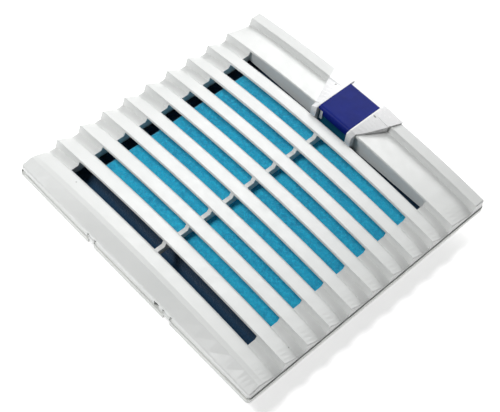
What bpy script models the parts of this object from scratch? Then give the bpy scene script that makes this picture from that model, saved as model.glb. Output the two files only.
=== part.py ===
"""Louvred fan filter for an enclosure wall, lying on its back.

The frame snaps into a square cut-out, holds the filter mat in front of a
guard grid, and carries a louvred cover that swings down about its lower edge.
X runs along the louvres, Y from the hinged lower edge to the latch, Z out of
the face.  Lengths are metres.  Heights in the tables below start at the back
face of the flange, and the finished pieces are lifted by the spigot's depth.
"""
import math

import bmesh
import bpy

# Frame
FLANGE = 0.255
FLANGE_THICK = 0.0045
FLANGE_CORNER = 0.003
SPIGOT_INSET = 0.016
SPIGOT_WALL = 0.0025
SPIGOT_DEPTH = 0.016
GUARD_THICK = 0.0025
GUARD_BAR = 0.0026
GUARD_BORDER = 0.004
GUARD_WINDOWS = 8
CLEAR = 0.0003

# Cover shell
COVER_INSET = 0.0009
SKIRT_GAP = 0.0005
COVER_CORNER = 0.0025
SKIRT_WALL = 0.002
SHELL = 0.002
EDGE_CHAMFER = 0.0007
BAND_EDGE_Z = 0.0108
FOLD_Y = 0.0126
FOLD_Z = 0.0134
FOLD_SOFT = 0.002
BAND_FALL = 0.3

# Louvres
CRESTS = 9
FIRST_CREST_Y = 0.0346
TOP_BAR = 0.0414
CREST_Z = 0.0146
CREST_LIP = 0.0020
CREST_BLEND = 0.0006
LAST_CREST_WALL = 0.0008
FACE_LEAN = 0.0002
SLOT = 0.0082
SLOT_FLOOR_Z = 0.0101
LIP_ROUND = 0.0016
LIP_FALL = 0.0007
WALL_LEAN = 0.0015
SLAT_BREAK = 0.0105
SLOT_MARGIN = 0.0295
END_RUN = 0.015
END_FALL = 0.0022
MARGIN_FALL = 0.0007
RIB = 0.0034
RIB_OFFSET = 0.0

# Crown: the cover's face arches up between its left and right ends
CROWN = 0.0073
CROWN_GAIN = 0.0012
BAND_CROWN = 0.26
ARCH_STEPS = 6

# Top bar and rim
BAR_BREAK = 0.0123
BAR_BREAK_Z = 0.0123
BAR_FALL = 0.6
RIM_WIDTH = 0.0147
RIM_Z = 0.0146
RIM_SHOULDER = 0.0028
RIM_DROP = 0.003

# Curtain round the louvre field, which holds the mat down
CURTAIN_WALL = 0.0018
CURTAIN_GAP = 0.001
CURTAIN_FOOT = 0.0046

# Hinge
HINGE_SPREAD = 0.042
HINGE_REACH = 0.001
HINGE_RISE = 0.0016
HINGE_PIN_R = 0.0008
HOOK_WALL = 0.0008
HOOK_WIDTH = 0.0058
EAR_WIDTH = 0.0015
EAR_HEIGHT = 0.0031
HOOK_SIDE_GAP = 0.0006
HINGE_NOTCH_TOP = 0.0102
FLANGE_NOTCH = 0.0064
HOOK_TAIL_Z = 0.0023

# Release notches in the skirt: place along X, width, top height
CORNER_NOTCH = (0.0034, 0.0052, 0.0066)
LEFT_SLIT = (0.0146, 0.0070, 0.0058)
WINDOW_BEFORE_HINGE = (0.0117, 0.0052, 0.0100)
RIGHT_SLIT_INSET = (0.0160, 0.0160, 0.0058)
CORNER_POCKET_Z = 0.0022

# Latch
LATCH_OFFSET = 0.0
BADGE_WIDTH = 0.0324
BADGE_THICK = 0.0010
BADGE_TOP_Z = 0.0172
BADGE_OVERHANG = 0.0030
BADGE_BACK_INSET = 0.0066
BADGE_LIP_Z = 0.0101
SURROUND_BACK_INSET = 0.0024
BADGE_BEND = 0.0026
BADGE_BACK_DROP = 0.0010
RAIL = 0.0011
WING_TOP_Z = 0.0154
WING_STEP = 0.0040
WING_THICK = 0.0012
LEG_WIDTH = 0.0042
LEG_REACH = 0.0050
WING_FLARE = 0.0157
WING_RUN = 0.0381
TONGUE_WIDTH = 0.020
TONGUE_THICK = 0.0024
TONGUE_INSET = 0.0080
LEG_FOOT_Z = 0.0027
LEG_FRONT_DROP = 0.0012
LIP_NOTCH = 0.0050
HOOK_INSET = 0.0012
HOOK_ACROSS = 0.0026
HOOK_DEPTH = 0.0011
HOOK_FOOT_Z = 0.0027

# Mat, gasket and panel clips
MAT_FACE_Z = 0.0030
MAT_BORDER_THICK = 0.0050
MAT_SIDE_GAP = 0.0022
MAT_ROLL = 0.0090
MAT_CROWN = 0.0060
MAT_STEPS = 10
MAT_BORDER_LEFT = 0.0090
MAT_BORDER_LOW = 0.0180
MAT_BORDER_HIGH = 0.0200
GASKET_WIDTH = 0.009
GASKET_THICK = 0.002
GASKET_GAP = 0.0008
CLIP_WIDTH = 0.016
CLIP_PANEL_GAP = 0.0027
CLIP_BITE = 0.0028
CLIP_HEIGHT = 0.0046
CLIP_HEAD = 0.0012
CLIP_STEM = 0.0014

# Worked-out places
COVER_LOW = COVER_INSET
COVER_HIGH = FLANGE - COVER_INSET
SKIRT_BOTTOM = FLANGE_THICK + SKIRT_GAP
RIM_WALL_Y = FLANGE - RIM_WIDTH
LAST_CREST_Y = FLANGE - TOP_BAR
PITCH = (LAST_CREST_Y - FIRST_CREST_Y) / (CRESTS - 1)
BAR_BREAK_Y = LAST_CREST_Y + BAR_BREAK
BADGE_FRONT_Y = LAST_CREST_Y - BADGE_OVERHANG
BADGE_BACK_Y = FLANGE - BADGE_BACK_INSET
LEG_START_Y = LAST_CREST_Y - LEG_REACH
TONGUE_Y = FLANGE - TONGUE_INSET
RIB_X = FLANGE / 2 + RIB_OFFSET
LATCH_X = FLANGE / 2 + LATCH_OFFSET
SPIGOT_LOW = SPIGOT_INSET
POCKET_LOW = SPIGOT_LOW + SPIGOT_WALL
FIELD_X = (SLOT_MARGIN - CURTAIN_GAP, FLANGE - SLOT_MARGIN + CURTAIN_GAP)
FIELD_Y = (FIRST_CREST_Y - SLOT - CURTAIN_GAP, LAST_CREST_Y + LAST_CREST_WALL + 2 * FACE_LEAN)
HINGE_CENTRES = (FLANGE / 2 - HINGE_SPREAD, FLANGE / 2 + HINGE_SPREAD)
SKIRT_NOTCHES = (CORNER_NOTCH, LEFT_SLIT,
                 (HINGE_CENTRES[1] - WINDOW_BEFORE_HINGE[0], *WINDOW_BEFORE_HINGE[1:]),
                 (FLANGE - RIGHT_SLIT_INSET[0], *RIGHT_SLIT_INSET[1:]))
HINGE_Y = COVER_LOW + HINGE_REACH
HINGE_Z = FLANGE_THICK + HINGE_RISE


PEAK = CROWN + CROWN_GAIN


def crown(x, y):
    """Rise of the cover's face over its left and right ends."""
    across = (x - FLANGE / 2) / (FLANGE / 2 - COVER_LOW)
    return (CROWN + CROWN_GAIN * y / FLANGE) * max(0.0, 1 - across * across)


def face_crown(x, y):
    """The same rise, taken up gradually from the hinged edge to the fold."""
    share = (y - COVER_LOW) / (FOLD_Y - FOLD_SOFT - COVER_LOW)
    return crown(x, y) * (BAND_CROWN + (1 - BAND_CROWN) * min(max(share, 0.0), 1.0))


def mat_crown(x):
    """Rise of the mat's face towards the middle of the field."""
    across = (x - FLANGE / 2) / (FLANGE / 2 - FIELD_X[0])
    return MAT_CROWN * max(0.0, 1 - across * across)


def remove_all():
    for obj in list(bpy.data.objects):
        bpy.data.objects.remove(obj, do_unlink=True)


def material(name, colour, roughness, metallic=0.0):
    mat = bpy.data.materials.new(name)
    mat.use_nodes = True
    shader = mat.node_tree.nodes["Principled BSDF"]
    shader.inputs["Base Color"].default_value = (*colour, 1.0)
    shader.inputs["Roughness"].default_value = roughness
    shader.inputs["Metallic"].default_value = metallic
    mat.diffuse_color = (*colour, 1.0)
    return mat


def part_frame(x, y, z):
    """Corner-based place to the part's own frame, origin at bottom centre."""
    return (x - FLANGE / 2, y - FLANGE / 2, z + SPIGOT_DEPTH)


def add_object(name, bm, mat, origin=(0.0, 0.0, 0.0)):
    """Object from a mesh given in the part's frame, its origin set apart."""
    bmesh.ops.remove_doubles(bm, verts=bm.verts, dist=1e-6)
    bmesh.ops.recalc_face_normals(bm, faces=bm.faces)
    bmesh.ops.translate(bm, verts=bm.verts, vec=[-c for c in origin])
    mesh = bpy.data.meshes.new(name)
    bm.to_mesh(mesh)
    bm.free()
    mesh.materials.append(mat)
    obj = bpy.data.objects.new(name, mesh)
    obj.location = origin
    bpy.context.scene.collection.objects.link(obj)
    return obj


def sheet(columns, rows, top, bottom, keep):
    """Closed wall between two grids of points, open where keep says no.

    Stations that fall on the same point merge, so a step is two stations.
    """
    bm = bmesh.new()
    upper = [[bm.verts.new(part_frame(*top(c, r))) for r in rows] for c in columns]
    lower = [[bm.verts.new(part_frame(*bottom(c, r))) for r in rows] for c in columns]
    nx, ny = len(columns) - 1, len(rows) - 1
    kept = [[keep(i, j) for j in range(ny)] for i in range(nx)]

    def is_kept(i, j):
        return 0 <= i < nx and 0 <= j < ny and kept[i][j]

    for i in range(nx):
        for j in range(ny):
            if not kept[i][j]:
                continue
            corners = ((i, j), (i + 1, j), (i + 1, j + 1), (i, j + 1))
            bm.faces.new([upper[a][b] for a, b in corners])
            bm.faces.new([lower[a][b] for a, b in reversed(corners)])
            beyond = ((i, j - 1), (i + 1, j), (i, j + 1), (i - 1, j))
            for side, cell in enumerate(beyond):
                if is_kept(*cell):
                    continue
                (a, b), (c, d) = corners[side], corners[(side + 1) % 4]
                bm.faces.new((upper[c][d], upper[a][b], lower[a][b], lower[c][d]))
    return bm


def box(bm, low, high):
    """Box between two corner-based places."""
    low, high = part_frame(*low), part_frame(*high)
    spots = [(x, y, z) for x in (low[0], high[0]) for y in (low[1], high[1])
             for z in (low[2], high[2])]
    verts = [bm.verts.new(s) for s in spots]
    for quad in ((0, 1, 3, 2), (4, 6, 7, 5), (0, 4, 5, 1), (2, 3, 7, 6),
                 (0, 2, 6, 4), (1, 5, 7, 3)):
        bm.faces.new([verts[k] for k in quad])


def prism(bm, outline, place):
    """Solid swept between the two ends that place gives for each point."""
    near = [bm.verts.new(place(p, 0)) for p in outline]
    far = [bm.verts.new(place(p, 1)) for p in outline]
    bm.faces.new(near)
    bm.faces.new(far[::-1])
    for k in range(len(outline)):
        n = (k + 1) % len(outline)
        bm.faces.new((near[n], near[k], far[k], far[n]))


def arc(centre, radius, start, end, steps):
    """Points on an arc, angles in degrees."""
    points = []
    for k in range(steps + 1):
        angle = math.radians(start + (end - start) * k / steps)
        points.append((centre[0] + radius * math.cos(angle),
                       centre[1] + radius * math.sin(angle)))
    return points


def tool_object(name, bm):
    """Shape that only cuts or joins another piece."""
    tool = add_object(name, bm, bpy.data.materials["guide"])
    tool.hide_render = True
    tool.display_type = "WIRE"
    return tool


def boolean(obj, operation, tool):
    mod = obj.modifiers.new(tool.name, "BOOLEAN")
    mod.operation = operation
    mod.solver = "EXACT"
    mod.object = tool


def corner_tool(name, inset, radius):
    """Cutter that rounds the four upright corners of a square outline."""
    bm = bmesh.new()
    low, high = inset, FLANGE - inset
    beyond = 0.001
    for x, y, sx, sy in ((low, low, 1, 1), (high, low, -1, 1),
                         (high, high, -1, -1), (low, high, 1, -1)):
        outline = [(x - sx * beyond, y - sy * beyond), (x + sx * radius, y - sy * beyond)]
        outline += [(x + sx * (radius + a), y + sy * (radius + b))
                    for a, b in arc((0.0, 0.0), radius, 262, 188, 5)]
        outline.append((x - sx * beyond, y + sy * radius))
        prism(bm, outline, lambda p, end:
              part_frame(p[0], p[1], 0.03 * end - 0.005))
    return tool_object(name, bm)


# Base frame

def make_base_frame(mat):
    """Flange and spigot, one moulding with the hinge ears and pins."""
    # Each station: inner place, outer place, ring 1 at the spigot's back edge
    stations = [(0.0, 0.0, 0), (POCKET_LOW, SPIGOT_LOW, 0), (POCKET_LOW, SPIGOT_LOW, 1)]
    stations += [(FLANGE - a, FLANGE - b, ring) for a, b, ring in reversed(stations)]

    def top(c, r):
        return (c[0], r[0], -SPIGOT_DEPTH if c[2] and r[2] else FLANGE_THICK)

    def bottom(c, r):
        return (c[1], r[1], -SPIGOT_DEPTH if c[2] and r[2] else 0.0)

    def keep(i, j):
        return not (i == 2 and j == 2)

    base = add_object("base_frame", sheet(stations, stations, top, bottom, keep), mat)

    cuts = bmesh.new()
    slot_half = (TONGUE_WIDTH / 2 + CLEAR, TONGUE_THICK / 2 + CLEAR)
    box(cuts, (LATCH_X - slot_half[0], TONGUE_Y - slot_half[1], -CLEAR),
        (LATCH_X + slot_half[0], TONGUE_Y + slot_half[1], FLANGE_THICK + CLEAR))
    notch_half = HOOK_WIDTH / 2 + HOOK_SIDE_GAP
    for x in HINGE_CENTRES:
        box(cuts, (x - notch_half, -CLEAR, -CLEAR),
            (x + notch_half, FLANGE_NOTCH, FLANGE_THICK + CLEAR))
    stem_low, stem_high = clip_stem_heights()
    half = CLIP_WIDTH / 2 + CLEAR
    middle = FLANGE / 2
    for side in (0, 1):
        wall = (SPIGOT_LOW - CLEAR, POCKET_LOW + CLEAR)
        if side:
            wall = (FLANGE - wall[1], FLANGE - wall[0])
        box(cuts, (wall[0], middle - half, stem_low - CLEAR),
            (wall[1], middle + half, stem_high + CLEAR))
        box(cuts, (middle - half, wall[0], stem_low - CLEAR),
            (middle + half, wall[1], stem_high + CLEAR))
    x, width, _ = CORNER_NOTCH
    box(cuts, (x - width / 2, -CLEAR, CORNER_POCKET_Z),
        (x + width / 2, COVER_LOW + SKIRT_WALL, FLANGE_THICK + CLEAR))
    boolean(base, "DIFFERENCE", tool_object("frame_cuts", cuts))
    boolean(base, "DIFFERENCE", corner_tool("frame_corners", 0.0, FLANGE_CORNER))

    ears = bmesh.new()
    pins = bmesh.new()
    for x in HINGE_CENTRES:
        for side in (-1, 1):
            near = x + side * notch_half
            far = near + side * EAR_WIDTH
            box(ears, (min(near, far), COVER_LOW + CLEAR / 2, FLANGE_THICK / 2),
                (max(near, far), HINGE_Y + HINGE_REACH, FLANGE_THICK + EAR_HEIGHT))
        reach = notch_half + EAR_WIDTH / 2
        round_pin = arc((HINGE_Y, HINGE_Z), HINGE_PIN_R, 15, 345, 11)
        prism(pins, round_pin, lambda p, end, x=x, reach=reach:
              part_frame(x + reach * (2 * end - 1), p[0], p[1]))
    boolean(base, "UNION", tool_object("hinge_ears", ears))
    boolean(base, "UNION", tool_object("hinge_pins", pins))
    return base


def make_guard(mat):
    """Rear guard grid, snapped into the back of the spigot."""
    edge = POCKET_LOW + CLEAR
    first = edge + GUARD_BORDER
    window = (FLANGE - 2 * first - (GUARD_WINDOWS - 1) * GUARD_BAR) / GUARD_WINDOWS
    stations = [edge]
    for k in range(GUARD_WINDOWS):
        start = first + k * (window + GUARD_BAR)
        stations += [start, start + window]
    stations.append(FLANGE - edge)

    def top(c, r):
        return (c, r, -SPIGOT_DEPTH + GUARD_THICK)

    def bottom(c, r):
        return (c, r, -SPIGOT_DEPTH)

    def keep(i, j):
        return not (i % 2 and j % 2)

    return add_object("rear_guard", sheet(stations, stations, top, bottom, keep), mat)


# Louvred cover

def slat_height(y, crest_y, crest_z, lip_y):
    """Height of a slat's face, which falls evenly from crest to lip."""
    return crest_z + (SLOT_FLOOR_Z - crest_z) * (y - crest_y) / (lip_y - crest_y)


def row(y, z, fall=0.0, slot=False, under=None):
    """Profile point: place, how far it follows the end fall, slot start."""
    if under is None:
        under = (y, z - SHELL)
    return {"y": y, "z": z, "fall": fall, "slot": slot, "under": under}


def lip_rows(lip_y, crest_y, crest_z):
    """Face of a slat from its break to the rounded lower lip of the slot."""
    rows = []
    for y, fall in ((crest_y + SLAT_BREAK, 0.75), (lip_y - LIP_ROUND, 1.0)):
        if crest_y < y <= lip_y - LIP_ROUND:
            rows.append(row(y, slat_height(y, crest_y, crest_z, lip_y), fall))
    rows.append(row(lip_y, SLOT_FLOOR_Z - LIP_FALL, 1.0, slot=True))
    return rows


def crest_rows(y, z, slot, thick=SKIRT_WALL):
    """Step wall up to a crest, and the crest's own rounded edge."""
    back = (y + thick + FACE_LEAN, z - SHELL)
    floor = row(y - WALL_LEAN, SLOT_FLOOR_Z - LIP_FALL, 1.0, slot,
                (y - WALL_LEAN + thick, SLOT_FLOOR_Z - LIP_FALL - SHELL))
    front = row(y, z - CREST_LIP, 0.0, False, (y + thick, z - SHELL - CREST_BLEND))
    return [floor, front, row(y + FACE_LEAN, z - CREST_BLEND, 0.0, False, back),
            row(y + CREST_BLEND, z, 0.0, False, back)]


def cover_rows():
    """Whole profile from the hinged skirt to the rim's outer skirt."""
    inner = COVER_LOW + SKIRT_WALL
    rows = [row(COVER_LOW, SKIRT_BOTTOM, under=(inner, SKIRT_BOTTOM)),
            row(COVER_LOW, BAND_EDGE_Z - EDGE_CHAMFER, under=(inner, BAND_EDGE_Z - SHELL)),
            row(COVER_LOW + EDGE_CHAMFER, BAND_EDGE_Z, under=(inner, BAND_EDGE_Z - SHELL))]
    rise = (FOLD_Z - BAND_EDGE_Z) / (FOLD_Y - COVER_LOW)
    rows.append(row(FOLD_Y - FOLD_SOFT, FOLD_Z - rise * FOLD_SOFT))
    first_lip = FIRST_CREST_Y - SLOT
    rows.append(row(FOLD_Y + FOLD_SOFT,
                    slat_height(FOLD_Y + FOLD_SOFT, FOLD_Y, FOLD_Z, first_lip), BAND_FALL))
    rows += [r for r in lip_rows(first_lip, FOLD_Y, FOLD_Z) if r["y"] > rows[-1]["y"]]
    for k in range(CRESTS):
        crest_y = FIRST_CREST_Y + k * PITCH
        last = k == CRESTS - 1
        rows += crest_rows(crest_y, CREST_Z, True, LAST_CREST_WALL if last else SKIRT_WALL)
        if k < CRESTS - 1:
            rows += lip_rows(crest_y + PITCH - SLOT, crest_y, CREST_Z)
    rows.append(row(BAR_BREAK_Y, BAR_BREAK_Z, BAR_FALL))
    rows += crest_rows(RIM_WALL_Y + WALL_LEAN, RIM_Z, False)
    outer = COVER_HIGH - SKIRT_WALL
    rows += [row(COVER_HIGH - RIM_SHOULDER, RIM_Z, under=(COVER_HIGH - RIM_SHOULDER, RIM_Z - SHELL)),
             row(COVER_HIGH, RIM_Z - RIM_DROP, under=(outer, RIM_Z - RIM_DROP - SHELL / 2)),
             row(COVER_HIGH, SKIRT_BOTTOM, under=(outer, SKIRT_BOTTOM))]
    return rows


def split_row(rows, y):
    """New profile point at y, on the line between its neighbours."""
    for k in range(len(rows) - 1):
        a, b = rows[k], rows[k + 1]
        if a["y"] < y < b["y"]:
            t = (y - a["y"]) / (b["y"] - a["y"])
            z = a["z"] + t * (b["z"] - a["z"])
            fall = a["fall"] + t * (b["fall"] - a["fall"])
            rows.insert(k + 1, row(y, z, fall, a["slot"]))
            return


def zoned(values, low, high):
    """Tag stations by curtain zone: 0 outside, 1 in its wall, 2 inside it."""
    out = []
    for at, item in values:
        if at < low - CURTAIN_WALL or at > high + CURTAIN_WALL:
            zones = (0,)
        elif low < at < high:
            zones = (2,)
        elif math.isclose(at, low - CURTAIN_WALL):
            zones = (0, 1)
        elif math.isclose(at, low):
            zones = (1, 2)
        elif math.isclose(at, high):
            zones = (2, 1)
        elif math.isclose(at, high + CURTAIN_WALL):
            zones = (1, 0)
        else:
            zones = (1,)
        out += [(item, zone) for zone in zones]
    return out


def end_fall(x):
    """How far a trough floor drops at this distance along the louvres."""
    edge = min(x, FLANGE - x) - COVER_LOW
    margin = SLOT_MARGIN - COVER_LOW
    slope = MARGIN_FALL * max(0.0, 1 - edge / margin)
    curve = END_FALL * max(0.0, 1 - edge / END_RUN) ** 2
    return slope + curve


def cover_columns():
    """Stations along X: (x, kind), kind says skirt, edge, face, slot or rib.

    A rib side is two stations in one place, so the rib steps down there.
    """
    half = [(COVER_LOW, "skirt"), (COVER_LOW, "edge"), (COVER_LOW + EDGE_CHAMFER, "face")]
    half += [(COVER_LOW + END_RUN * s, "face") for s in (0.25, 0.5, 0.75, 1.0)]
    half += [(FIELD_X[0] - CURTAIN_WALL, "face"), (FIELD_X[0], "face")]
    other = [(FLANGE - x, kind) for x, kind in reversed(half)]
    tongue = TONGUE_WIDTH / 2 + CLEAR
    rib_low, rib_high = RIB_X - RIB / 2, RIB_X + RIB / 2
    low, high = LATCH_X - tongue, LATCH_X + tongue
    slots = [(SLOT_MARGIN + (low - SLOT_MARGIN) * k / ARCH_STEPS, "slot")
             for k in range(ARCH_STEPS + 1)]
    slots += [(rib_low, "rib_side"), (rib_low, "rib"), (rib_high, "rib"), (rib_high, "slot")]
    slots += [(high + (FLANGE - SLOT_MARGIN - high) * k / ARCH_STEPS, "slot")
              for k in range(ARCH_STEPS)]
    return half + slots + [(FLANGE - SLOT_MARGIN, "face")] + other


def make_cover(mat):
    """Louvred cover with its skirt, curtain and hinge hooks."""
    rows = cover_rows()
    tongue_half = TONGUE_THICK / 2 + CLEAR
    for y in (FIELD_Y[0] - CURTAIN_WALL, FIELD_Y[0], FIELD_Y[1], FIELD_Y[1] + CURTAIN_WALL,
              TONGUE_Y - tongue_half, TONGUE_Y + tongue_half):
        split_row(rows, y)
    rows = zoned([(r["y"], r) for r in rows], *FIELD_Y)
    columns = zoned([(x, (x, kind)) for x, kind in cover_columns()], *FIELD_X)
    tongue_low = LATCH_X - TONGUE_WIDTH / 2 - CLEAR

    def height(x, kind, r):
        z = r["z"] - r["fall"] * end_fall(x) + face_crown(x, r["y"])
        if kind == "skirt" or r["z"] == SKIRT_BOTTOM:
            return SKIRT_BOTTOM
        return z - EDGE_CHAMFER if kind == "edge" else z

    def top(c, r):
        (x, kind), r = c[0], r[0]
        return (x, r["y"], height(x, kind, r))

    def bottom(c, r):
        (x, kind), x_zone = c
        r, y_zone = r
        y, z = r["under"]
        if kind in ("skirt", "edge") or math.isclose(x, COVER_LOW + EDGE_CHAMFER) \
                or math.isclose(x, COVER_HIGH - EDGE_CHAMFER):
            x = COVER_LOW + SKIRT_WALL if x < FLANGE / 2 else COVER_HIGH - SKIRT_WALL
            y = min(max(y, COVER_LOW + SKIRT_WALL), COVER_HIGH - SKIRT_WALL)
        if kind == "skirt" or r["z"] == SKIRT_BOTTOM:
            return (x, y, SKIRT_BOTTOM)
        z += face_crown(x, y) - r["fall"] * end_fall(x)
        in_curtain = (x_zone == 1 and y_zone > 0) or (y_zone == 1 and x_zone > 0)
        in_rib = kind == "rib" and y_zone == 2 and r["y"] < LAST_CREST_Y - SLOT / 2
        if in_curtain or (in_rib and math.isclose(r["y"], FIELD_Y[0])):
            z = CURTAIN_FOOT
        elif in_rib:
            z = CURTAIN_FOOT + MAT_CROWN
            # The rib's end leans a little, so that it is never a sliver
            if r["y"] > LAST_CREST_Y - SLOT - FACE_LEAN:
                y -= FACE_LEAN
        return (x, y, z)

    def keep(i, j):
        (x, kind), (next_x, _) = columns[i][0], columns[i + 1][0]
        y, next_y = rows[j][0]["y"], rows[j + 1][0]["y"]
        if rows[j][0]["slot"] and SLOT_MARGIN - CLEAR < x and next_x < FLANGE - SLOT_MARGIN + CLEAR:
            return kind in ("rib_side", "rib") and y < LAST_CREST_Y - PITCH / 2
        in_x = math.isclose(x, tongue_low) or (tongue_low < x < tongue_low + TONGUE_WIDTH)
        in_y = y >= TONGUE_Y - tongue_half - 1e-6 and next_y <= TONGUE_Y + tongue_half + 1e-6
        return not (in_x and in_y)

    hinge_line = part_frame(FLANGE / 2, HINGE_Y, HINGE_Z)
    cover = add_object("louvre_cover", sheet(columns, rows, top, bottom, keep), mat, hinge_line)

    cuts = bmesh.new()
    reach = SKIRT_WALL + COVER_LOW + CLEAR
    hinge_half = HOOK_WIDTH / 2 + HOOK_SIDE_GAP + EAR_WIDTH + CLEAR
    for x in HINGE_CENTRES:
        box(cuts, (x - hinge_half, -CLEAR, 0.0), (x + hinge_half, reach, HINGE_NOTCH_TOP))
    for x, width, top_z in SKIRT_NOTCHES:
        box(cuts, (x - width / 2, -CLEAR, 0.0), (x + width / 2, reach, top_z))
    boolean(cover, "DIFFERENCE", tool_object("skirt_cuts", cuts))
    boolean(cover, "DIFFERENCE", corner_tool("cover_corners", COVER_INSET, COVER_CORNER))

    hooks = bmesh.new()
    inner = HINGE_PIN_R + CLEAR
    outer = inner + HOOK_WALL
    neck = HINGE_REACH * 0.9
    neck_top = HINGE_NOTCH_TOP + CLEAR * 2
    angle = math.degrees(math.acos(-neck / outer))
    outline = [(HINGE_Y - neck, neck_top)]
    outline += arc((HINGE_Y, HINGE_Z), outer, angle, 360 - angle, 6)
    outline += [(HINGE_Y - neck, HOOK_TAIL_Z), (HINGE_Y, HOOK_TAIL_Z)]
    outline += arc((HINGE_Y, HINGE_Z), outer, 270, 300, 2)
    outline += arc((HINGE_Y, HINGE_Z), inner, 300, 60, 10)
    outline += [(HINGE_Y + neck, HINGE_Z + inner * math.sin(math.radians(60))),
                (HINGE_Y + neck, neck_top)]
    for x in HINGE_CENTRES:
        prism(hooks, outline, lambda p, end, x=x:
              part_frame(x + HOOK_WIDTH * (end - 0.5), p[0], p[1]))
    boolean(cover, "UNION", tool_object("hinge_hooks", hooks))
    return cover


def cover_height(y):
    """Height of the cover's face at y, away from its ends."""
    rows = cover_rows()
    for a, b in zip(rows, rows[1:]):
        if a["y"] <= y <= b["y"] and b["y"] > a["y"]:
            return a["z"] + (b["z"] - a["z"]) * (y - a["y"]) / (b["y"] - a["y"])
    return RIM_Z


# Latch

def wing_half(y):
    """Half width of the latch surround, which flares towards the rim."""
    waist = BADGE_WIDTH / 2 + CLEAR + RAIL + LEG_WIDTH
    s = min(max((y - LAST_CREST_Y) / WING_RUN, 0.0), 1.0)
    return waist + WING_FLARE * s ** 0.9


def make_latch_surround(mat):
    """White surround that carries the badge, its hook and the latch tongue."""
    seat = BADGE_TOP_Z - BADGE_THICK - CLEAR
    badge_half = BADGE_WIDTH / 2 + CLEAR
    tongue = (TONGUE_Y - TONGUE_THICK / 2, TONGUE_Y + TONGUE_THICK / 2)
    crest = LAST_CREST_Y
    seat_start = crest + CLEAR
    crest_under, rim = CREST_Z + CLEAR, RIM_Z + CLEAR
    # Each row: y, underside height, step tag for the tongue
    rows = [(LEG_START_Y, LEG_FOOT_Z, 0), (crest - CLEAR - FACE_LEAN, LEG_FOOT_Z, 0),
            (crest - CLEAR, crest_under, 0), (seat_start, crest_under, 0)]
    for start, end, steps in ((seat_start, BAR_BREAK_Y, 3),
                              (BAR_BREAK_Y, RIM_WALL_Y - WING_STEP, 3)):
        for k in range(1, steps + 1):
            y = start + (end - start) * k / steps
            rows.append((y, cover_height(y) + CLEAR, 0))
    rows += [(RIM_WALL_Y - CLEAR - FACE_LEAN, cover_height(RIM_WALL_Y) + CLEAR, 0),
             (RIM_WALL_Y - CLEAR, rim, 0), (RIM_WALL_Y + WALL_LEAN, rim, 0)]
    rows += [(tongue[0], rim, 0), (tongue[0], rim, 1), (tongue[1], rim, 1), (tongue[1], rim, 0),
             (FLANGE - SURROUND_BACK_INSET, rim, 0)]
    columns = [("edge", -1), ("rail", -1), ("rail_in", -1), ("seat", -1), ("tongue", -1),
               ("deep", -1), ("deep", 1), ("tongue", 1), ("seat", 1), ("rail_in", 1),
               ("rail", 1), ("edge", 1)]

    def across(c, y):
        kind, side = c
        half = {"edge": wing_half(y), "rail": badge_half + RAIL, "rail_in": badge_half,
                "seat": badge_half - FACE_LEAN}.get(kind, TONGUE_WIDTH / 2)
        return LATCH_X + side * half

    def top(c, r):
        y, under, _ = r
        x = across(c, y)
        kind = c[0]
        if kind == "edge":
            z = crown(x, y) + max(WING_TOP_Z, under + WING_THICK)
        elif kind in ("rail", "rail_in"):
            z = PEAK + BADGE_TOP_Z
        else:
            z = PEAK + seat
        if y == LEG_START_Y:
            z -= LEG_FRONT_DROP
        return (x, y, z)

    def bottom(c, r):
        y, under, deep = r
        x = across(c, y)
        if c[0] == "deep" and deep:
            return (x, y, CLEAR)
        return (x, y, crown(x, y) + under)

    def keep(i, j):
        # The two legs alone reach down in front of the last crest
        leg = ("edge", "rail")
        return j > 2 or columns[i][0] in leg or columns[i + 1][0] in leg

    surround = add_object("latch_surround", sheet(columns, rows, top, bottom, keep), mat)
    hook = bmesh.new()
    back = crest - CLEAR - FACE_LEAN / 2
    front = back - HOOK_DEPTH
    low = PEAK + CREST_Z + CLEAR * 1.5
    high = PEAK + seat - CLEAR / 2
    outline = [(front, PEAK + HOOK_FOOT_Z), (back, PEAK + HOOK_FOOT_Z), (back, low),
               (seat_start + WALL_LEAN, low), (seat_start + WALL_LEAN, high),
               (front + HOOK_DEPTH / 2, high), (front, high - HOOK_DEPTH / 2)]
    start = LATCH_X - BADGE_WIDTH / 2 + HOOK_INSET
    prism(hook, outline, lambda p, end:
          part_frame(start + HOOK_ACROSS * end, p[0], p[1]))
    boolean(surround, "UNION", tool_object("latch_hook", hook))
    return surround


def make_badge(mat):
    """Blue release plate, bent down over the last slot at its front."""
    bend = BADGE_BEND
    thick = BADGE_THICK
    centre = (BADGE_FRONT_Y + bend, BADGE_TOP_Z - bend)
    outline = [(BADGE_FRONT_Y, BADGE_LIP_Z)]
    outline += arc(centre, bend, 180, 90, 6)
    outline += [(BADGE_BACK_Y - BADGE_BACK_DROP, BADGE_TOP_Z),
                (BADGE_BACK_Y, BADGE_TOP_Z - BADGE_BACK_DROP),
                (BADGE_BACK_Y - CLEAR, BADGE_TOP_Z - thick)]
    outline += arc(centre, bend - thick, 90, 180, 4)
    outline += [(BADGE_FRONT_Y + thick, BADGE_LIP_Z)]
    bm = bmesh.new()
    prism(bm, outline, lambda p, end:
          part_frame(LATCH_X + BADGE_WIDTH * (end - 0.5), p[0], PEAK + p[1]))
    badge = add_object("badge_plate", bm, mat)
    notch = bmesh.new()
    left = LATCH_X - BADGE_WIDTH / 2
    box(notch, (left - CLEAR, BADGE_FRONT_Y - CLEAR, PEAK + BADGE_LIP_Z - CLEAR),
        (left + LIP_NOTCH, BADGE_FRONT_Y + thick + CLEAR, PEAK + BADGE_TOP_Z - bend - CLEAR / 2))
    boolean(badge, "DIFFERENCE", tool_object("lip_notch", notch))
    return badge


# Mat, gasket and panel clips

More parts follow.
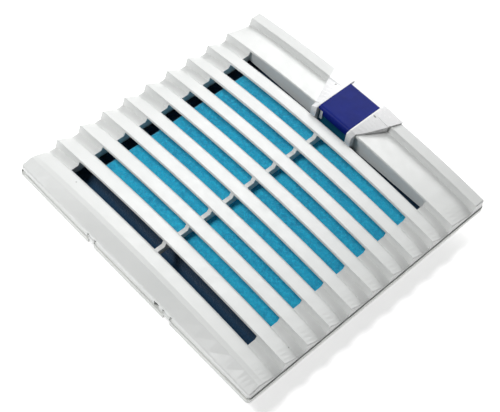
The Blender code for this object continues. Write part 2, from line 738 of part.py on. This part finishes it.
def make_mat(mat):
    """Filter mat on the guard grid, thin along the border on three sides."""
    low, high = POCKET_LOW + MAT_SIDE_GAP, FLANGE - POCKET_LOW - MAT_SIDE_GAP
    floor = -SPIGOT_DEPTH + GUARD_THICK + CLEAR
    border = floor + MAT_BORDER_THICK
    lofted = MAT_FACE_Z + MAT_CROWN
    first = low + MAT_BORDER_LEFT + MAT_ROLL
    last = FLANGE - FIELD_X[0]
    xs = [(low, border), (low + MAT_BORDER_LEFT, border)]
    for k in range(MAT_STEPS + 1):
        x = first + (last - first) * k / MAT_STEPS
        xs.append((x, MAT_FACE_Z + mat_crown(x)))
    xs.append((high, MAT_FACE_Z))
    ys = [(low, border), (low + MAT_BORDER_LOW, border),
          (low + MAT_BORDER_LOW + MAT_ROLL, lofted),
          (high - MAT_BORDER_HIGH - MAT_ROLL, lofted),
          (high - MAT_BORDER_HIGH, border), (high, border)]

    def top(c, r):
        return (c[0], r[0], min(c[1], r[1]))

    def bottom(c, r):
        return (c[0], r[0], floor)

    return add_object("filter_mat", sheet(xs, ys, top, bottom, lambda i, j: True), mat)


def make_gasket(mat):
    """Foam strip round the spigot, against the back of the flange."""
    inner = SPIGOT_LOW - GASKET_GAP
    outer = inner - GASKET_WIDTH
    stations = [outer, inner, FLANGE - inner, FLANGE - outer]

    def top(c, r):
        return (c, r, -CLEAR)

    def bottom(c, r):
        return (c, r, -CLEAR - GASKET_THICK)

    def keep(i, j):
        return not (i == 1 and j == 1)

    return add_object("gasket", sheet(stations, stations, top, bottom, keep), mat)


def clip_stem_heights():
    """Lowest and highest height of a clip's stem through the spigot wall."""
    top = -CLEAR - GASKET_THICK - CLIP_PANEL_GAP
    return (top - CLIP_HEIGHT / 2 - CLIP_STEM / 2, top - CLIP_HEIGHT / 2 + CLIP_STEM / 2)


def clip_outline():
    """Section of a panel clip: distance out from the spigot, and height."""
    low, high = clip_stem_heights()
    top = -CLEAR - GASKET_THICK - CLIP_PANEL_GAP
    foot = top - CLIP_HEIGHT
    inside = -SPIGOT_WALL - CLEAR
    head_rise = CLIP_STEM * 0.7
    return [(CLEAR, high), (CLEAR, top), (CLIP_BITE, top), (CLIP_BITE, top - CLIP_STEM),
            (CLEAR + CLIP_STEM * 0.6, foot), (CLEAR, foot), (CLEAR, low), (inside, low),
            (inside, low - head_rise), (inside - CLIP_HEAD, low - head_rise),
            (inside - CLIP_HEAD, high + head_rise), (inside, high + head_rise), (inside, high)]


def make_clip(name, side, mat):
    """Panel clip on one side of the spigot: side is left, right, low or high."""
    middle = FLANGE / 2

    def place(p, end):
        along = middle + CLIP_WIDTH * (end - 0.5)
        out = SPIGOT_LOW - p[0]
        if side in ("right", "high"):
            out = FLANGE - out
        if side in ("left", "right"):
            return part_frame(out, along, p[1])
        return part_frame(along, out, p[1])

    bm = bmesh.new()
    prism(bm, clip_outline(), place)
    return add_object(name, bm, mat)


def main():
    remove_all()
    material("guide", (0.5, 0.5, 0.5), 0.5)
    housing = material("housing_grey", (0.78, 0.79, 0.77), 0.42)
    cover = material("cover_grey", (0.80, 0.81, 0.80), 0.40)
    white = material("latch_white", (0.90, 0.90, 0.89), 0.35)
    blue = material("badge_blue", (0.03, 0.07, 0.36), 0.18)
    cyan = material("mat_cyan", (0.02, 0.30, 0.48), 0.95)
    foam = material("gasket_foam", (0.05, 0.05, 0.05), 0.9)
    clip = material("clip_grey", (0.30, 0.31, 0.32), 0.5)

    make_base_frame(housing)
    make_guard(housing)
    make_cover(cover)
    make_latch_surround(white)
    make_badge(blue)
    make_mat(cyan)
    make_gasket(foam)
    for side in ("left", "right", "low", "high"):
        make_clip("panel_clip_" + side, side, clip)


main()
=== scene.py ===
"""Looks of the louvred filter housing: finishes, fibre mat, light and camera."""
import math

import bmesh
import bpy
from mathutils import Matrix, Vector, noise


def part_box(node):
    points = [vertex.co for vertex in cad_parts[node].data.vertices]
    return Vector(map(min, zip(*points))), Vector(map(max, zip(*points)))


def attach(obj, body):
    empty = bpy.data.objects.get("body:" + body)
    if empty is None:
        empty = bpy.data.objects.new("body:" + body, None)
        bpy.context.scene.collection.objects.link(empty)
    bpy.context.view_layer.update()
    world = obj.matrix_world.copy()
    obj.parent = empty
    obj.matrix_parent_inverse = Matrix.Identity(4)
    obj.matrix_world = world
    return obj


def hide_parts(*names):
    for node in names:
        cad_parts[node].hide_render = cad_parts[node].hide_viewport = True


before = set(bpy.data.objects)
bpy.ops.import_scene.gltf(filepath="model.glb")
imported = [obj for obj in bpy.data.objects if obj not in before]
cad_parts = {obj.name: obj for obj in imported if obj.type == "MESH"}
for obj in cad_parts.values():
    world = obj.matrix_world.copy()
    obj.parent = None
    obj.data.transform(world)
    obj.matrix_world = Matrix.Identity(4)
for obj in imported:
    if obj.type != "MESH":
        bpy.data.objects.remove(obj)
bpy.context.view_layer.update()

MM = 0.001

# Moulded finishes: two close tones (linear), lowest and highest roughness, height of grain
COVER = {"light": (0.72, 0.73, 0.72), "shade": (0.68, 0.695, 0.685),
         "gloss": (0.34, 0.5), "grain": 0.02 * MM}
HOUSING = {"light": (0.68, 0.69, 0.67), "shade": (0.62, 0.635, 0.615),
           "gloss": (0.4, 0.58), "grain": 0.03 * MM}
LATCH = {"light": (0.86, 0.86, 0.86), "shade": (0.81, 0.82, 0.83),
         "gloss": (0.22, 0.34), "grain": 0.01 * MM}
CLIP = {"light": (0.16, 0.165, 0.17), "shade": (0.11, 0.115, 0.12),
        "gloss": (0.4, 0.6), "grain": 0.03 * MM}
# Blue-black tone of the sheet of painted shade under the release plate's lip
SHADE_SHEET = {"light": (0.005, 0.110, 0.190), "shade": (0.004, 0.085, 0.150),
       "gloss": (0.4, 0.5), "grain": 0.01 * MM}

# Moulding marks: their tone, and X, Y and two half widths of each, in mm
MARK_SHADE = (0.36, 0.36, 0.35)
LATCH_MARKS = ((-24.0, 110.5, 0.9, 0.9), (19.6, 110.5, 1.4, 0.8))
COVER_MARKS = ((117.4, -79.7, 0.6, 0.6), (-85.0, -106.5, 0.6, 0.6))

BADGE_BLUE = (0.007, 0.017, 0.200)
BADGE_DEEP = (0.005, 0.013, 0.155)
BADGE_RIPPLE = 0.12 * MM

FOAM_DARK = (0.018, 0.018, 0.019)
FOAM_PALE = (0.05, 0.05, 0.052)
FOAM_CELL_DEPTH = 0.25 * MM

# Fibre: colours from the deep of the mat to its loose ends, and the painted shade on its
# borders
MAT_DEEP = (0.003, 0.350, 0.600)
MAT_MID = (0.005, 0.460, 0.730)
MAT_LIGHT = (0.020, 0.600, 0.860)
MAT_FLECK = (0.220, 0.760, 0.930)
MAT_FLECK_SHARE = 0.35
MAT_PAINTED_SHADE = (0.001, 0.040, 0.100)
MAT_NAP = 0.9 * MM

# Where the painted shade on the mat's borders fades out, in metres
MAT_SHADE_FADE_LEFT = (-0.0950, -0.0890)
MAT_SHADE_FADE_FRONT = (-0.0785, -0.0745)
MAT_SHADE_FADE_BACK = (0.0810, 0.0765)
MAT_SHADE_FADE_UNDER = (0.0040, 0.0032)

# Shape of the mat's face
MAT_BORDER = 5.0 * MM
MAT_BORDER_LEFT = 9.0 * MM
MAT_BORDER_LOW = 18.0 * MM
MAT_BORDER_HIGH = 20.0 * MM
MAT_ROLL = 9.0 * MM
MAT_CROWN = 6.0 * MM
MAT_CROWN_HALF = 99.0 * MM
MAT_CELL = 1.25 * MM
MAT_EDGE_DROP = 1.6 * MM
MAT_EDGE_RUN = 3.0 * MM
MAT_CREASE = 60.0
MAT_UNEVEN = 0.3 * MM
LOFT_SCALE = 260.0
LOFT_SLICE = 0.3
WAVE_SCALE = 28.0

# Dark sheet of painted shade under the lip of the release plate
SHADE_SHEET_THICK = 0.15 * MM
SHADE_SHEET_GAP = 0.15 * MM
SHADE_SHEET_HALF = 17.2 * MM
SHADE_SHEET_LOW = 20.8 * MM
SHADE_SHEET_LAP = 0.5 * MM
LAST_WALL_Y = 86.1 * MM

EDGE_RADIUS = 0.35 * MM
BADGE_EDGE_RADIUS = 0.25 * MM
EDGE_SEGMENTS = 2
FLAT_WEIGHT = 60

# Camera: angles in degrees, distance and target in metres, lens in mm
CAMERA_AZIMUTH = 38.742
CAMERA_ELEVATION = 54.851
CAMERA_ROLL = 9.583
CAMERA_DISTANCE = 0.88235
CAMERA_TARGET = Vector((0.010354, -0.015314, 0.022))
CAMERA_LENS = 83.328

# Lights: place, width of the disc in metres, power in watts
BACK_LIGHT = ((-0.60, 1.20, 0.80), 1.0, 17.0)
FRONT_LIGHT = ((-0.50, -0.56, 1.22), 0.5, 13.5)
LIGHT_TARGET = Vector((0.0, 0.0, 0.02))

WHITE = (1.0, 1.0, 1.0)
PAPER_LIGHT = (0.97, 0.97, 0.97)
PAPER_SHADE = (0.95, 0.95, 0.95)
PAPER_GLOW = 0.6
FLOOR_HALF = 4.0
SURROUND_STRENGTH = 0.13

COLOUR = "NodeSocketColor"
NUMBER = "NodeSocketFloat"
PLACE = "NodeSocketVector"


# Shader helpers

def feed(tree, sock, value):
    """Link a socket to another one, or set it to a number, place or colour."""
    if isinstance(value, bpy.types.NodeSocket):
        tree.links.new(value, sock)
    elif sock.type == "RGBA":
        sock.default_value = (*value, 1.0)
    else:
        sock.default_value = value


def add_node(tree, kind, inputs, **settings):
    node = tree.nodes.new("ShaderNode" + kind)
    for label, value in settings.items():
        setattr(node, label, value)
    for label, value in inputs.items():
        feed(tree, node.inputs[label], value)
    return node


def new_group(name, inputs, outputs):
    """Node group with the named sockets, each given with its kind."""
    tree = bpy.data.node_groups.new(name, "ShaderNodeTree")
    for label, kind in inputs.items():
        tree.interface.new_socket(label, in_out="INPUT", socket_type=kind)
    for label, kind in outputs.items():
        tree.interface.new_socket(label, in_out="OUTPUT", socket_type=kind)
    return tree, tree.nodes.new("NodeGroupInput"), tree.nodes.new("NodeGroupOutput")


def object_coords(tree):
    return add_node(tree, "TexCoord", {}).outputs["Object"]


def noise_tex(tree, coords, scale, detail=3.0, rough=0.5, distortion=0.0):
    inputs = {"Vector": coords, "Scale": scale, "Detail": detail, "Roughness": rough,
              "Distortion": distortion}
    return add_node(tree, "TexNoise", inputs).outputs["Fac"]


def math_node(tree, operation, a, b):
    return add_node(tree, "Math", {0: a, 1: b}, operation=operation).outputs[0]


def vector_node(tree, operation, *inputs):
    return add_node(tree, "VectorMath", dict(enumerate(inputs)), operation=operation)


def map_range(tree, value, low, high, to_low=0.0, to_high=1.0):
    inputs = dict(enumerate((value, low, high, to_low, to_high)))
    return add_node(tree, "MapRange", inputs).outputs[0]


def mix_colour(tree, factor, a, b):
    """Colour between a and b; sockets 6 and 7 are the node's two colours."""
    node = add_node(tree, "Mix", {}, data_type="RGBA")
    for index, value in ((0, factor), (6, a), (7, b)):
        feed(tree, node.inputs[index], value)
    return node.outputs[2]


def bump(tree, shader, height, distance):
    node = add_node(tree, "Bump", {"Distance": distance, "Strength": 1.0, "Height": height})
    feed(tree, shader.inputs["Normal"], node.outputs["Normal"])


def new_material(name):
    mat = bpy.data.materials.new(name)
    mat.use_nodes = True
    return mat, mat.node_tree, mat.node_tree.nodes["Principled BSDF"]


# Shared effects

def moulding_grain():
    """Fine spark-eroded grain, faint flow clouds and rubbed patches of a plastic moulding."""
    tree, start, end = new_group(
        "moulding_grain",
        {"Light": COLOUR, "Shade": COLOUR, "Smoothest": NUMBER, "Roughest": NUMBER},
        {"Colour": COLOUR, "Roughness": NUMBER, "Height": NUMBER})
    given = start.outputs
    coords = object_coords(tree)
    fine = noise_tex(tree, coords, scale=2600.0, detail=2.0, rough=0.6)
    pits = noise_tex(tree, coords, scale=900.0, detail=2.0)
    height = math_node(tree, "ADD", fine, math_node(tree, "MULTIPLY", pits, 0.6))
    clouds = noise_tex(tree, coords, scale=22.0, detail=4.0, rough=0.55)
    tone = map_range(tree, clouds, 0.3, 0.7)
    patches = noise_tex(tree, coords, scale=160.0, detail=5.0, rough=0.65)
    rub = map_range(tree, patches, 0.35, 0.75)
    feed(tree, end.inputs["Colour"], mix_colour(tree, tone, given["Light"], given["Shade"]))
    feed(tree, end.inputs["Roughness"],
         map_range(tree, rub, 0.0, 1.0, given["Smoothest"], given["Roughest"]))
    feed(tree, end.inputs["Height"], height)
    return tree


def moulding_mark():
    """Mask of one small oval mark, seen from above, with a soft rim."""
    tree, start, end = new_group(
        "moulding_mark", {"Centre": PLACE, "Half X": NUMBER, "Half Y": NUMBER},
        {"Mask": NUMBER})
    given = start.outputs
    away = vector_node(tree, "SUBTRACT", object_coords(tree), given["Centre"])
    flat = vector_node(tree, "MULTIPLY", away.outputs["Vector"], (1.0, 1.0, 0.0))
    half = add_node(tree, "CombineXYZ", {"X": given["Half X"], "Y": given["Half Y"], "Z": 1.0})
    shares = vector_node(tree, "DIVIDE", flat.outputs["Vector"], half.outputs["Vector"])
    reach = vector_node(tree, "LENGTH", shares.outputs["Vector"])
    feed(tree, end.inputs["Mask"], map_range(tree, reach.outputs["Value"], 1.1, 0.8))
    return tree


GRAIN = moulding_grain()
MARK = moulding_mark()


# Materials

def moulded_plastic(name, light, shade, gloss, grain, marks=()):
    """Grained plastic; marks give each mark's centre in the piece and two half widths."""
    mat, tree, shader = new_material(name)
    plastic = add_node(tree, "Group", {"Light": light, "Shade": shade, "Smoothest": gloss[0],
                                       "Roughest": gloss[1]}, node_tree=GRAIN).outputs
    colour = plastic["Colour"]
    for centre, half_x, half_y in marks:
        mark = add_node(tree, "Group", {"Centre": centre, "Half X": half_x, "Half Y": half_y},
                        node_tree=MARK)
        colour = mix_colour(tree, mark.outputs["Mask"], colour, MARK_SHADE)
    feed(tree, shader.inputs["Base Color"], colour)
    feed(tree, shader.inputs["Roughness"], plastic["Roughness"])
    bump(tree, shader, plastic["Height"], grain)
    return mat


def marks_on(node, marks):
    """Marks of a moulding in its own frame, as moulded_plastic takes them."""
    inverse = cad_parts[node].matrix_world.inverted()
    return [(inverse @ Vector((x * MM, y * MM, 0.0)), half_x * MM, half_y * MM)
            for x, y, half_x, half_y in marks]


def fibre_mat_material():
    """Loose bonded fibre: cyan-blue strands, paler where they stand up, with painted shade
    along its left, front and back borders.
    """
    mat, tree, shader = new_material("mat_fibre")
    coords = object_coords(tree)
    tufts = noise_tex(tree, coords, scale=420.0, detail=4.0, rough=0.62, distortion=0.8)
    strands = noise_tex(tree, coords, scale=1500.0, detail=5.0, rough=0.7, distortion=2.4)
    patches = noise_tex(tree, coords, scale=60.0)
    deep = mix_colour(tree, map_range(tree, patches, 0.35, 0.65), MAT_DEEP, MAT_MID)
    lit = mix_colour(tree, map_range(tree, tufts, 0.42, 0.68), deep, MAT_LIGHT)
    fleck = math_node(tree, "MULTIPLY", map_range(tree, strands, 0.58, 0.72), MAT_FLECK_SHARE)
    fibre = mix_colour(tree, fleck, lit, MAT_FLECK)

    axes = add_node(tree, "SeparateXYZ", {0: coords}).outputs
    # Painted shade: the left, front and back borders of the mat's face turn dark navy, while
    # the lowest part of the mat keeps the fibre colour
    unshaded = map_range(tree, axes["X"], *MAT_SHADE_FADE_LEFT)
    for border in (MAT_SHADE_FADE_FRONT, MAT_SHADE_FADE_BACK):
        unshaded = math_node(tree, "MINIMUM", unshaded, map_range(tree, axes["Y"], *border))
    under = map_range(tree, axes["Z"], *MAT_SHADE_FADE_UNDER)
    unshaded = math_node(tree, "MAXIMUM", unshaded, under)
    feed(tree, shader.inputs["Base Color"], mix_colour(tree, unshaded, MAT_PAINTED_SHADE, fibre))
    shader.inputs["Roughness"].default_value = 0.92
    shader.inputs["Sheen Weight"].default_value = 0.25
    nap = math_node(tree, "ADD", tufts, math_node(tree, "MULTIPLY", strands, 0.5))
    bump(tree, shader, nap, MAT_NAP)
    return mat


def foam_material():
    """Closed-cell foam strip."""
    mat, tree, shader = new_material("gasket_foam")
    cells = add_node(tree, "TexVoronoi", {"Vector": object_coords(tree), "Scale": 1600.0})
    tone = map_range(tree, cells.outputs["Distance"], 0.0, 0.8)
    feed(tree, shader.inputs["Base Color"], mix_colour(tree, tone, FOAM_DARK, FOAM_PALE))
    shader.inputs["Roughness"].default_value = 0.9
    bump(tree, shader, cells.outputs["Distance"], FOAM_CELL_DEPTH)
    return mat


def badge_material():
    """Satin blue moulding with a faint ripple."""
    mat, tree, shader = new_material("badge_gloss")
    ripple = noise_tex(tree, object_coords(tree), scale=90.0, detail=2.0)
    tone = map_range(tree, ripple, 0.3, 0.7)
    feed(tree, shader.inputs["Base Color"], mix_colour(tree, tone, BADGE_BLUE, BADGE_DEEP))
    shader.inputs["Roughness"].default_value = 0.30
    shader.inputs["Specular IOR Level"].default_value = 0.07
    bump(tree, shader, ripple, BADGE_RIPPLE)
    return mat


def floor_material():
    mat, tree, shader = new_material("floor_paper")
    paper = noise_tex(tree, object_coords(tree), scale=40.0)
    feed(tree, shader.inputs["Base Color"], mix_colour(tree, paper, PAPER_LIGHT, PAPER_SHADE))
    shader.inputs["Roughness"].default_value = 0.8
    shader.inputs["Emission Color"].default_value = (*WHITE, 1.0)
    shader.inputs["Emission Strength"].default_value = PAPER_GLOW
    return mat


# Pieces

def add_object(name, data):
    obj = bpy.data.objects.new(name, data)
    bpy.context.scene.collection.objects.link(obj)
    return obj


def mesh_from(name, bm):
    mesh = bpy.data.meshes.new(name)
    bm.to_mesh(mesh)
    bm.free()
    return mesh


def soften(node, width, edge_from=28.0, crease_from=9.0):
    """Small radius on a moulding's edges; both angles in degrees."""
    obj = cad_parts[node]
    obj.data.shade_smooth()
    obj.data.set_sharp_from_angle(angle=math.radians(crease_from))
    edge = obj.modifiers.new("edge_radius", "BEVEL")
    edge.width = width
    edge.segments = EDGE_SEGMENTS
    edge.limit_method = "ANGLE"
    edge.angle_limit = math.radians(edge_from)
    even = obj.modifiers.new("even_shading", "WEIGHTED_NORMAL")
    even.keep_sharp = True
    even.weight = FLAT_WEIGHT


def dress(node, mat):
    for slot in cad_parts[node].material_slots:
        slot.material = mat


def smooth_rise(distance, run):
    """Soft step from 0 to 1 over a run."""
    s = min(max(distance / run, 0.0), 1.0)
    return s * s * (3 - 2 * s)


def mat_height(x, y, low, high):
    """Height of the mat's face: thin borders, a roll up to the crown, and uneven loft."""
    rise = min(smooth_rise(x - low.x - MAT_BORDER_LEFT, MAT_ROLL),
               smooth_rise(y - low.y - MAT_BORDER_LOW, MAT_ROLL),
               smooth_rise(high.y - MAT_BORDER_HIGH - y, MAT_ROLL))
    across = min(abs(x - (low.x + high.x) / 2) / MAT_CROWN_HALF, 1.0)
    lofted = high.z - low.z - MAT_BORDER
    z = low.z + MAT_BORDER + (lofted - MAT_CROWN * across ** 2) * rise
    inset = min(x - low.x, high.x - x, y - low.y, high.y - y)
    z -= MAT_EDGE_DROP * (1 - smooth_rise(inset, MAT_EDGE_RUN))
    loft = noise.fractal(Vector((x, y, LOFT_SLICE)) * LOFT_SCALE, 0.7, 2.0, 3)
    wave = noise.noise(Vector((x, y, 0.0)) * WAVE_SCALE)
    return min(z + MAT_UNEVEN * (loft + wave - 1), high.z)


def fibre_mat():
    """Fibre mat with a lofted, uneven face, thin along three borders."""
    low, high = (Vector(c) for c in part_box("filter_mat"))
    count = round((high.x - low.x) / MAT_CELL)
    steps = [k / count for k in range(count + 1)]
    ys = [low.y + (high.y - low.y) * t for t in steps]
    bm = bmesh.new()
    grid = []
    for s in steps:
        x = low.x + (high.x - low.x) * s
        grid.append([bm.verts.new((x, y, mat_height(x, y, low, high))) for y in ys])
    for i in range(count):
        for j in range(count):
            bm.faces.new((grid[i][j], grid[i + 1][j], grid[i + 1][j + 1], grid[i][j + 1]))
    rim = [e for e in bm.edges if e.is_boundary]
    for made in bmesh.ops.extrude_edge_only(bm, edges=rim)["geom"]:
        if isinstance(made, bmesh.types.BMVert):
            made.co.z = low.z
    bmesh.ops.contextual_create(bm, geom=[e for e in bm.edges if e.is_boundary])
    bmesh.ops.recalc_face_normals(bm, faces=bm.faces)
    mesh = mesh_from("fibre_mat", bm)
    mesh.shade_smooth()
    mesh.set_sharp_from_angle(angle=math.radians(MAT_CREASE))
    mesh.materials.append(fibre_mat_material())
    obj = add_object("fibre_mat", mesh)
    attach(obj, "housing")
    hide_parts("filter_mat")


def badge_shade_sheet():
    """Dark sheet of painted shade in front of the last slot's wall, under the lip of the
    release plate.
    """
    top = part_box("badge_plate")[0][2] + SHADE_SHEET_LAP
    wall = LAST_WALL_Y - SHADE_SHEET_GAP
    span = Vector((2 * SHADE_SHEET_HALF, SHADE_SHEET_THICK, top - SHADE_SHEET_LOW))
    centre = Vector((0.0, wall - SHADE_SHEET_THICK / 2, (top + SHADE_SHEET_LOW) / 2))
    bm = bmesh.new()
    bmesh.ops.create_cube(bm, size=1.0)
    for v in bm.verts:
        v.co = centre + v.co * span
    mesh = mesh_from("badge_shade_sheet", bm)
    mesh.materials.append(moulded_plastic("shade_sheet_plastic", **SHADE_SHEET))
    obj = add_object("badge_shade_sheet", mesh)
    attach(obj, "cover")


def dress_mouldings():
    cover_marks = marks_on("louvre_cover", COVER_MARKS)
    dress("louvre_cover", moulded_plastic("cover_plastic", **COVER, marks=cover_marks))
    housing = moulded_plastic("housing_plastic", **HOUSING)
    dress("base_frame", housing)
    dress("rear_guard", housing)
    latch_marks = marks_on("latch_surround", LATCH_MARKS)
    dress("latch_surround", moulded_plastic("latch_plastic", **LATCH, marks=latch_marks))
    dress("badge_plate", badge_material())
    dress("gasket", foam_material())
    clip = moulded_plastic("clip_plastic", **CLIP)
    for side in ("left", "right", "low", "high"):
        dress("panel_clip_" + side, clip)
    for node in ("louvre_cover", "base_frame", "latch_surround"):
        soften(node, EDGE_RADIUS)
    soften("badge_plate", BADGE_EDGE_RADIUS, edge_from=20.0, crease_from=20.0)


# Stage, light and camera

def camera():
    az, el, roll = (math.radians(a) for a in (CAMERA_AZIMUTH, CAMERA_ELEVATION, CAMERA_ROLL))
    back = Vector((math.sin(az) * math.cos(el), -math.cos(az) * math.cos(el), math.sin(el)))
    right = Vector((math.cos(az), math.sin(az), 0.0))
    up = back.cross(right)
    side = right * math.cos(roll) + up * math.sin(roll)
    top = up * math.cos(roll) - right * math.sin(roll)
    turn = Matrix((side, top, back)).transposed().to_4x4()
    data = bpy.data.cameras.new("camera")
    data.lens = CAMERA_LENS
    data.clip_start = 0.01
    obj = add_object("camera", data)
    obj.matrix_world = Matrix.Translation(CAMERA_TARGET + back * CAMERA_DISTANCE) @ turn
    bpy.context.scene.camera = obj


def area_light(name, place, width, watts):
    data = bpy.data.lights.new(name, "AREA")
    data.shape = "DISK"
    data.size = width
    data.energy = watts
    obj = add_object(name, data)
    obj.location = place
    aim = LIGHT_TARGET - Vector(place)
    obj.rotation_euler = aim.to_track_quat("-Z", "Y").to_euler()


def stage():
    """Pale floor under the housing, and a plain white surround."""
    corners = [(FLOOR_HALF * x, FLOOR_HALF * y, 0)
               for x, y in ((-1, -1), (1, -1), (1, 1), (-1, 1))]
    mesh = bpy.data.meshes.new("floor")
    mesh.from_pydata(corners, [], [(0, 1, 2, 3)])
    mesh.materials.append(floor_material())
    floor = add_object("floor", mesh)
    world = bpy.data.worlds.new("surround")
    world.use_nodes = True
    background = world.node_tree.nodes["Background"]
    background.inputs["Color"].default_value = (*WHITE, 1.0)
    background.inputs["Strength"].default_value = SURROUND_STRENGTH
    bpy.context.scene.world = world
    bpy.context.scene.view_settings.view_transform = "Standard"


def main():
    camera()
    stage()
    area_light("back_light", *BACK_LIGHT)
    area_light("front_light", *FRONT_LIGHT)
    dress_mouldings()
    fibre_mat()
    badge_shade_sheet()


main()
